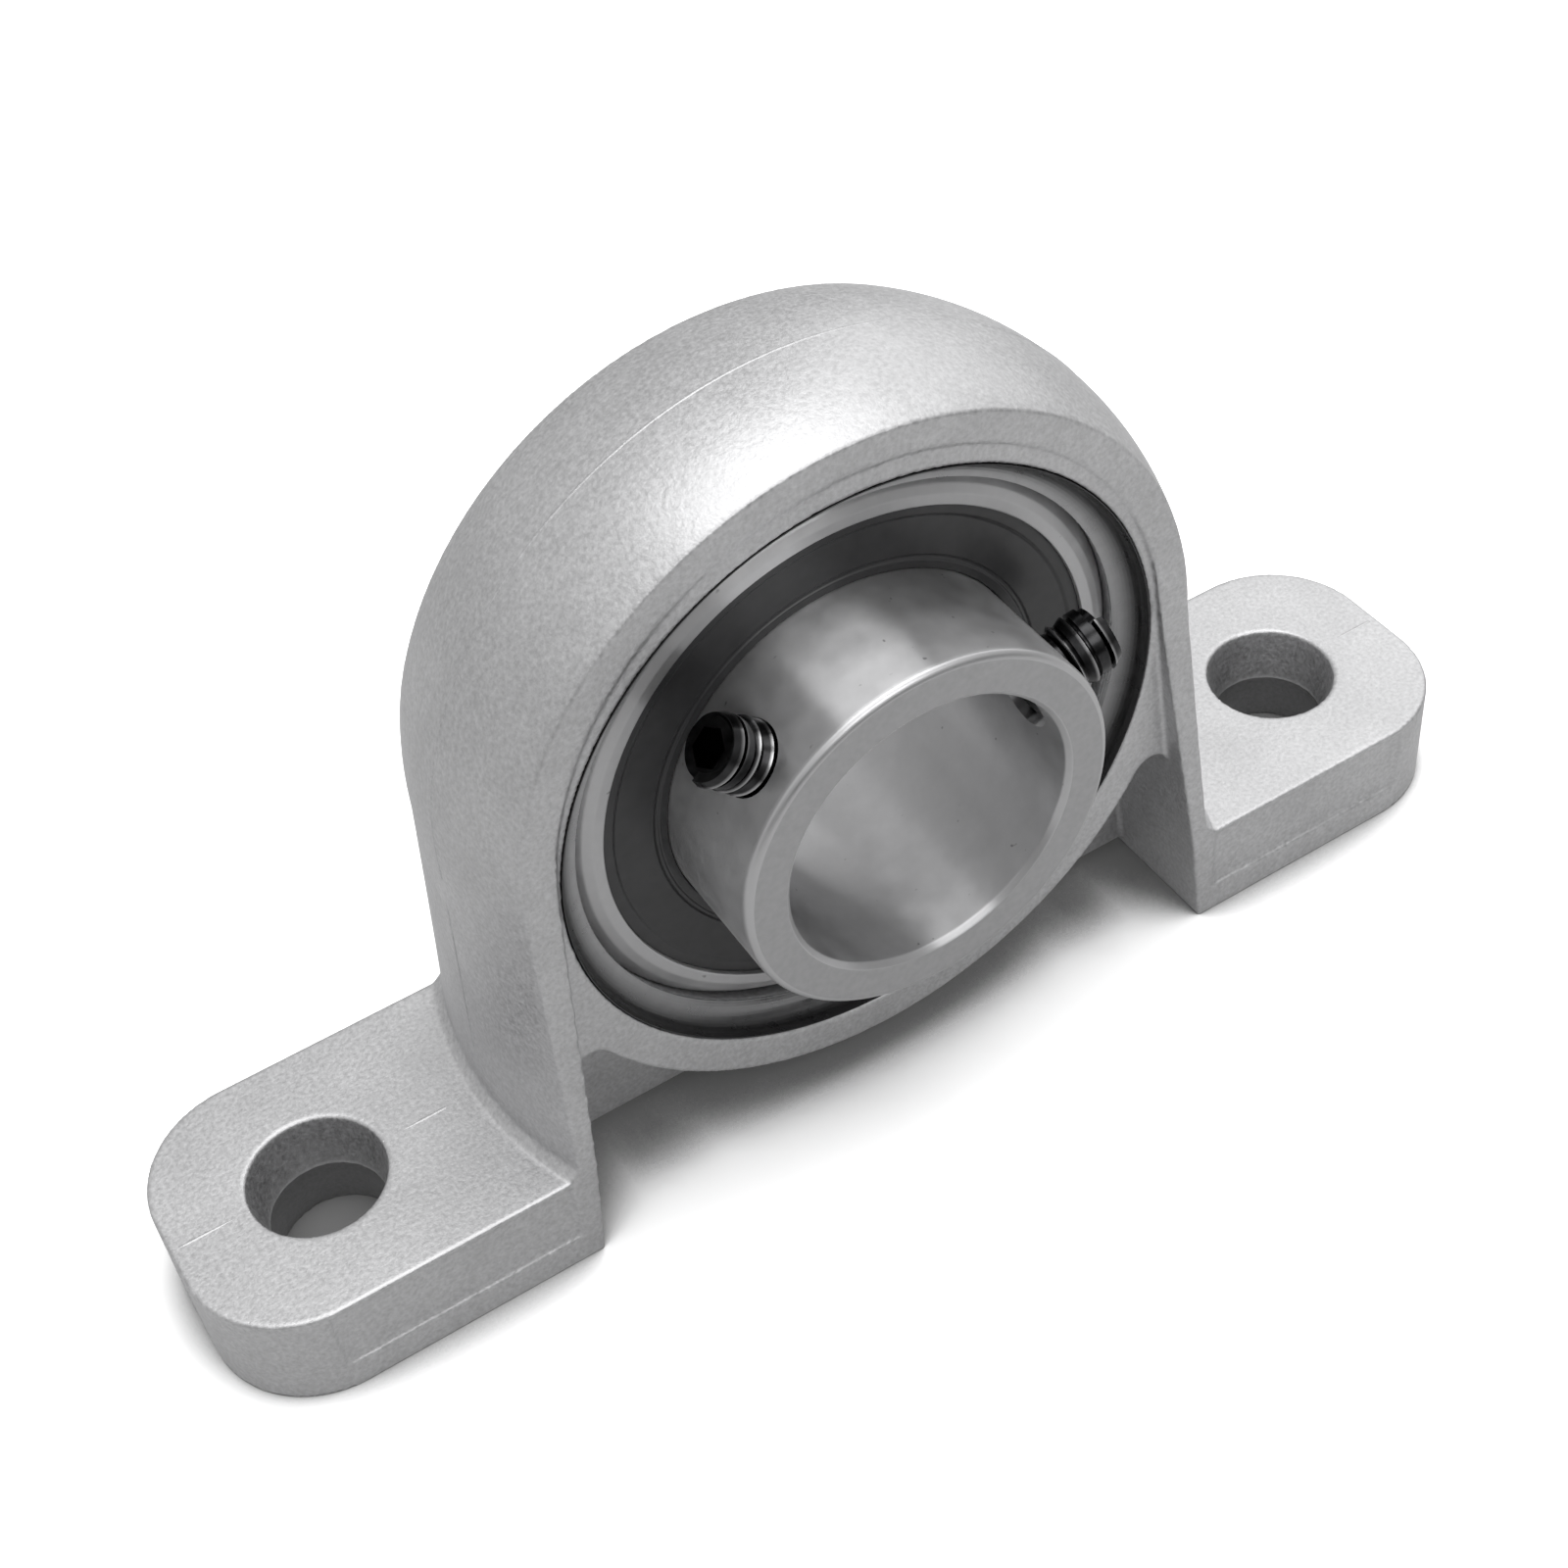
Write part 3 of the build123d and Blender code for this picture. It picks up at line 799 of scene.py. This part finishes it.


# Floor
# A white sweep of paper. The camera sees it a little brighter than the metal does, which
# keeps the background white, and it keeps the bearing's own shadow. Where the bearing hems
# it in, the camera's view of it is darkened further as painted contact shadow.
white, tree, shader = new_finish("white_paper")
tree.nodes.remove(shader)
seen = add_node(tree, "ShaderNodeLightPath")
reflected = add_node(
    tree, "ShaderNodeMix",
    {"Factor": seen.outputs["Is Glossy Ray"], 6: linear("#BCBCBC"), 7: linear("#C5C5C5")},
    data_type="RGBA",
)
# Painted shadow: the floor seen by the camera darkens where the bearing hems it in.
hemmed_in = add_node(tree, "ShaderNodeAmbientOcclusion", {"Distance": 9 * MM}, samples=16)
floor_with_painted_shadow = add_node(
    tree, "ShaderNodeMapRange",
    {"Value": hemmed_in.outputs["AO"], "From Min": 0.45, "From Max": 0.72, "To Min": 0.25, "To Max": 1.5},
)
floor_tone = add_node(
    tree, "ShaderNodeMix",
    {"Factor": seen.outputs["Is Camera Ray"], 6: reflected.outputs[2], 7: floor_with_painted_shadow.outputs["Result"]},
    data_type="RGBA",
)
matt = add_node(tree, "ShaderNodeBsdfDiffuse", {"Color": floor_tone.outputs[2]})
tree.links.new(matt.outputs[0], tree.nodes["Material Output"].inputs["Surface"])
bpy.ops.mesh.primitive_plane_add(size=3.0)
floor = bpy.context.object
floor.name = "floor"
floor.data.materials.append(white)


# Light
# A pale tent, a little brighter overhead and open towards the camera, with three soft
# boxes: above, in front beside the camera, and behind on the right. The camera itself
# sees the tent's wall as plain white.
world = bpy.data.worlds.new("studio")
scene.world = world
world.use_nodes = True
tree = world.node_tree
way = add_node(tree, "ShaderNodeSeparateXYZ", {0: add_node(tree, "ShaderNodeTexCoord").outputs["Generated"]})
rise = add_node(
    tree, "ShaderNodeMapRange",
    {"Value": way.outputs["Z"], "From Min": 0.0, "From Max": 1.0, "To Min": 0.58, "To Max": 0.8},
)
ahead = add_node(
    tree, "ShaderNodeMapRange",
    {"Value": way.outputs["Y"], "From Min": -0.75, "From Max": 0.0, "To Min": 1.0, "To Max": 0.0},
)
low = add_node(
    tree, "ShaderNodeMapRange",
    {"Value": way.outputs["Z"], "From Min": 0.1, "From Max": 0.6, "To Min": 1.0, "To Max": 0.0},
)
open_side = add_node(
    tree, "ShaderNodeMath", {0: ahead.outputs["Result"], 1: low.outputs["Result"]}, operation="MULTIPLY"
)
dimmer = add_node(tree, "ShaderNodeMapRange", {"Value": open_side.outputs[0], "To Min": 1.0, "To Max": 0.12})
tent = add_node(
    tree, "ShaderNodeMath", {0: rise.outputs["Result"], 1: dimmer.outputs["Result"]}, operation="MULTIPLY"
)
seen = add_node(tree, "ShaderNodeLightPath")
backdrop = add_node(
    tree, "ShaderNodeMix", {"Factor": seen.outputs["Is Camera Ray"], 2: tent.outputs[0], 3: 1.0}
)
sky = tree.nodes["Background"]
tree.links.new(backdrop.outputs[0], sky.inputs["Strength"])
sky.inputs["Color"].default_value = (1, 1, 1, 1)


def soft_box(name, spot, width, height, brightness):
    """Rectangular soft box of an even brightness that looks at the middle of the bearing."""
    data = bpy.data.lights.new(name, "AREA")
    data.shape = "RECTANGLE"
    data.size = width
    data.size_y = height
    data.energy = brightness * math.pi * width * height
    lamp = bpy.data.objects.new(name, data)
    lamp.location = spot
    aim = Vector((0, 0, 0.02)) - Vector(spot)
    lamp.rotation_euler = aim.to_track_quat("-Z", "Y").to_euler()
    scene.collection.objects.link(lamp)


soft_box("overhead", (0.035, 0.0, 0.50), 0.27, 0.46, 2.25)
soft_box("front", (0.02, -0.34, 0.38), 0.34, 0.20, 2.3)
soft_box("back_right", (0.37, 0.21, 0.27), 0.40, 0.40, 0.7)


# Camera
# It stands where the photograph was taken from, above and to the left of the front.
eye = Vector((-44.25583, -84.66430, 114.80717)) * MM
right = Vector((0.84776935, -0.52315527, -0.0871533))
up = Vector((0.42757354, 0.57694397, 0.69592853))
back = right.cross(up)
camera_data = bpy.data.cameras.new("camera")
camera_data.sensor_width = 36.0
camera_data.lens = 55.522
camera_data.clip_start = 0.01
camera = bpy.data.objects.new("camera", camera_data)
camera.matrix_world = Matrix((
    (right.x, up.x, back.x, eye.x),
    (right.y, up.y, back.y, eye.y),
    (right.z, up.z, back.z, eye.z),
    (0, 0, 0, 1),
))
scene.collection.objects.link(camera)
scene.camera = camera
scene.view_settings.view_transform = "Standard"
